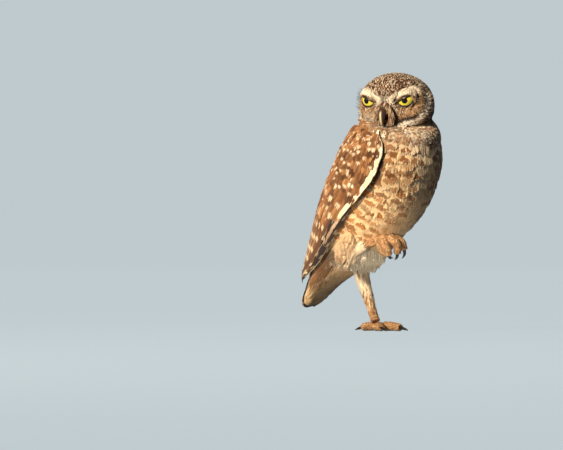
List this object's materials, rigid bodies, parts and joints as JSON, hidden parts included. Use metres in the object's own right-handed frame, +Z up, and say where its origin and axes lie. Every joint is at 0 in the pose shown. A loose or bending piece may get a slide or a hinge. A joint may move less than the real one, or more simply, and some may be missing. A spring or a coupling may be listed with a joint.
{
  "type": "burrowing owl model",
  "caption": "Still, life-size model of a burrowing owl standing on its left leg with the right foot drawn up to its belly, its head turned to its right and its wings folded.",
  "frame": {"origin": "on the floor, at the middle of the sole of the standing left foot", "axes": "+Z up, the body faces -Y, the bird's left side is +X; the head is turned to the bird's right"},
  "size_m": [0.1008, 0.1439, 0.2206],
  "materials": {
    "plumage": "brown contour and flight feathers with white spots and pale bars",
    "breast": "soft cream breast and leg feathers barred with tawny brown",
    "scaly_skin": "dull tan skin with fine scales and sparse bristles",
    "claw_horn": "smooth black horn",
    "bill_horn": "satin horn, pale yellow ridge and dusky sides",
    "eye": "wet, glossy yellow iris with a black pupil"
  },
  "bodies": {
    "root": {"bill_lower": "bill_horn", "bill_upper": "bill_horn", "claw_left_1": "claw_horn", "claw_left_2": "claw_horn", "claw_left_3": "claw_horn", "claw_left_4": "claw_horn", "claw_right_1": "claw_horn", "claw_right_2": "claw_horn", "claw_right_3": "claw_horn", "claw_right_4": "claw_horn", "eye_left": "eye", "eye_right": "eye", "foot_left": "scaly_skin", "foot_right": "scaly_skin", "head": "plumage", "neck": "plumage", "tail": "plumage", "tarsus_left": "scaly_skin", "tarsus_right": "scaly_skin", "thigh_left": "breast", "thigh_right": "breast", "toe_left_1": "scaly_skin", "toe_left_2": "scaly_skin", "toe_left_3": "scaly_skin", "toe_left_4": "scaly_skin", "toe_right_1": "scaly_skin", "toe_right_2": "scaly_skin", "toe_right_3": "scaly_skin", "toe_right_4": "scaly_skin", "torso": "breast", "wing_left": "plumage", "wing_right": "plumage"}
  },
  "joints": []
}
